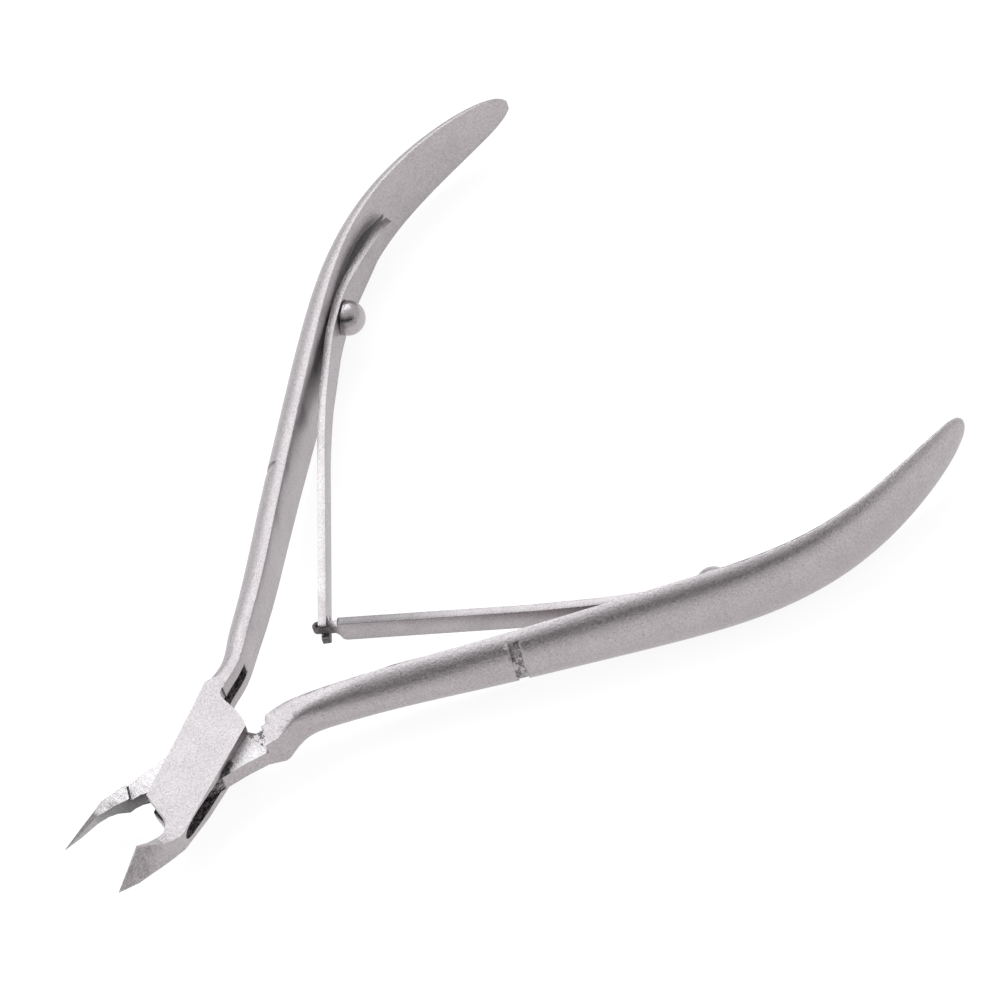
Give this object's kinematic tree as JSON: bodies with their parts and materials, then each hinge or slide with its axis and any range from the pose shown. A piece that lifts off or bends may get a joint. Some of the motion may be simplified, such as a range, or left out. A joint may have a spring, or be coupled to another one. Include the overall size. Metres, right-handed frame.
{
  "type": "cuticle nipper",
  "caption": "Small stainless steel nipper with pointed half-jaws, a box joint and long bowed handles held open by two interlocked leaf springs.",
  "frame": {"origin": "pivot axis at the flat rear face of the joint", "axes": "+Z along the pivot axis, from the rear face of the joint to its front plate; +X from the jaws to the handles; +Y towards the handle of the forked lever"},
  "size_m": [0.1022, 0.0792, 0.0098],
  "materials": {
    "lever_steel": "satin, bead blasted, with as-forged darker pockets at the joint",
    "pin_steel": "ground flush",
    "spring_steel": "fine satin",
    "rivet_steel": "polished"
  },
  "bodies": {
    "forked_side": {"forked_lever": "lever_steel", "pivot_pin": "pin_steel", "forked_leaf_rivet": "rivet_steel"},
    "tongue_side": {"tongue_lever": "lever_steel", "hooked_leaf_rivet": "rivet_steel"},
    "forked_spring_leaf": {"forked_leaf": "spring_steel"},
    "hooked_spring_leaf": {"hooked_leaf": "spring_steel"}
  },
  "joints": [
    {"name": "handle_pivot", "type": "hinge", "parent": "forked_side", "child": "tongue_side", "pos_m": [0, 0, 0], "axis": [0, 0, 1], "range_deg": [0, 29], "stiffness_Nm_per_rad": 0.8},
    {"name": "forked_leaf_flex", "type": "hinge", "parent": "forked_side", "child": "forked_spring_leaf", "pos_m": [0.05189, 0.03054, 0.0024], "axis": [0, 0, 1], "range_deg": [-9, 0], "deforming": ["forked_leaf"]},
    {"name": "hooked_leaf_flex", "type": "hinge", "parent": "tongue_side", "child": "hooked_spring_leaf", "pos_m": [0.05189, -0.03054, 0.0024], "axis": [0, 0, 1], "range_deg": [0, 9], "deforming": ["hooked_leaf"]}
  ],
  "couplings": [
    {"joint": "forked_leaf_flex", "follows": "handle_pivot", "ratio": -0.3086},
    {"joint": "hooked_leaf_flex", "follows": "handle_pivot", "ratio": 0.2398}
  ]
}
